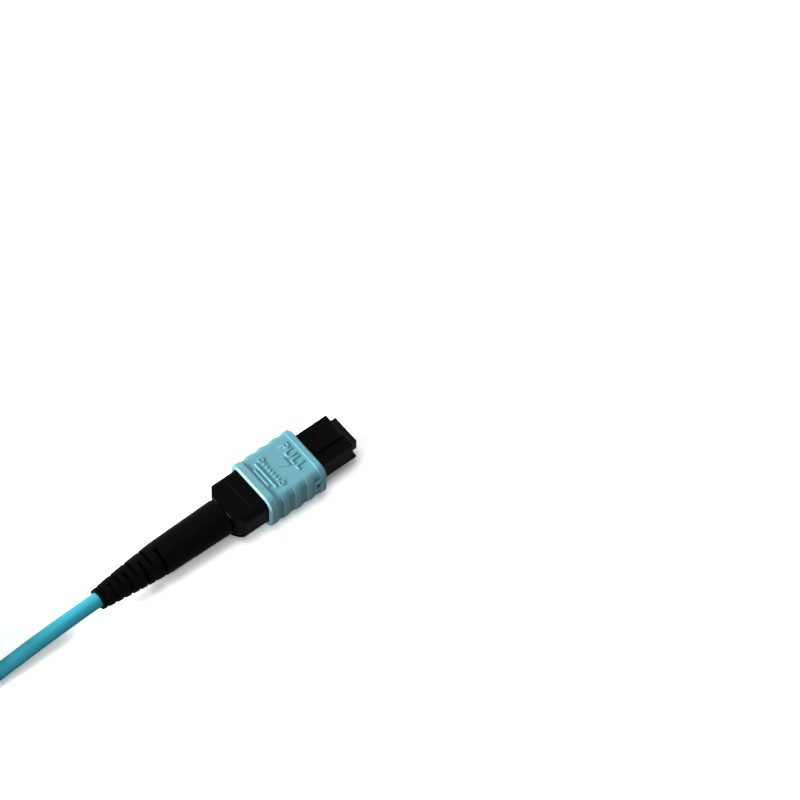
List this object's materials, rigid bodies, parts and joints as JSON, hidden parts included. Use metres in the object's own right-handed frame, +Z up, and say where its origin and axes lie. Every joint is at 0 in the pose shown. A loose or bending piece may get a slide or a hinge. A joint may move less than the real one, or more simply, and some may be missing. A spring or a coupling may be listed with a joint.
{
  "type": "mpo fibre connector",
  "caption": "Multi-fibre push-on connector with a sliding ribbed coupling, a spring-loaded rectangular ferrule and a slotted boot, on a patch cord folded into a hank.",
  "frame": {"origin": "on the bench, under the middle of the near connector's length", "axes": "+X is the mating direction out of the ferrule, +Y is the connector's left side seen from behind, +Z is up through the key"},
  "size_m": [0.1616, 0.0329, 0.0181],
  "materials": {
    "coupling_plastic": "satin",
    "housing_plastic": "satin",
    "ferrule_resin": "matte",
    "fibre_glass": "polished",
    "ribbon_matrix": "satin",
    "soft_rubber": "matte",
    "spacer_plastic": "satin",
    "spring_steel": "bright",
    "aramid_yarn": "matte",
    "crimp_metal": "satin",
    "boot_rubber": "matte",
    "cable_jacket": "satin",
    "band_fabric": "matte"
  },
  "bodies": {
    "root": {"front_housing": "housing_plastic", "ferrule_spring": "spring_steel", "coupling_spring_left": "spring_steel", "coupling_spring_right": "spring_steel", "spring_push": "housing_plastic", "aramid_yarn": "aramid_yarn", "crimp_ring": "crimp_metal", "cable_jacket_end": "cable_jacket", "fibre_bundle": "ribbon_matrix", "cable_boot": "boot_rubber", "cable": "cable_jacket", "cable_hank": "cable_jacket", "cable_lead_out": "cable_jacket", "hank_band_left": "band_fabric", "hank_band_right": "band_fabric", "far_front_housing": "housing_plastic", "far_ferrule_spring": "spring_steel", "far_coupling_spring_left": "spring_steel", "far_coupling_spring_right": "spring_steel", "far_spring_push": "housing_plastic", "far_aramid_yarn": "aramid_yarn", "far_crimp_ring": "crimp_metal", "far_cable_jacket_end": "cable_jacket", "far_fibre_bundle": "ribbon_matrix", "far_cable_boot": "boot_rubber"},
    "coupling": {"coupling": "coupling_plastic"},
    "ferrule": {"ferrule": "ferrule_resin", "fibre_array": "fibre_glass", "fibre_ribbon": "ribbon_matrix", "ferrule_boot": "soft_rubber", "pin_spacer": "spacer_plastic"},
    "far_coupling": {"far_coupling": "coupling_plastic"},
    "far_ferrule": {"far_ferrule": "ferrule_resin", "far_fibre_array": "fibre_glass", "far_fibre_ribbon": "ribbon_matrix", "far_ferrule_boot": "soft_rubber", "far_pin_spacer": "spacer_plastic"}
  },
  "joints": [
    {"name": "coupling_slide", "type": "slide", "parent": "root", "child": "coupling", "axis": [-1, 0, 0], "range_m": [0, 0.0025], "stiffness_N_per_m": 600, "deforming": ["coupling_spring_left", "coupling_spring_right"]},
    {"name": "ferrule_slide", "type": "slide", "parent": "root", "child": "ferrule", "axis": [-1, 0, 0], "range_m": [0, 0.001], "stiffness_N_per_m": 3000, "deforming": ["ferrule_spring"]},
    {"name": "far_coupling_slide", "type": "slide", "parent": "root", "child": "far_coupling", "axis": [1, 0, 0], "range_m": [0, 0.0025], "stiffness_N_per_m": 600, "deforming": ["far_coupling_spring_left", "far_coupling_spring_right"]},
    {"name": "far_ferrule_slide", "type": "slide", "parent": "root", "child": "far_ferrule", "axis": [1, 0, 0], "range_m": [0, 0.001], "stiffness_N_per_m": 3000, "deforming": ["far_ferrule_spring"]}
  ]
}
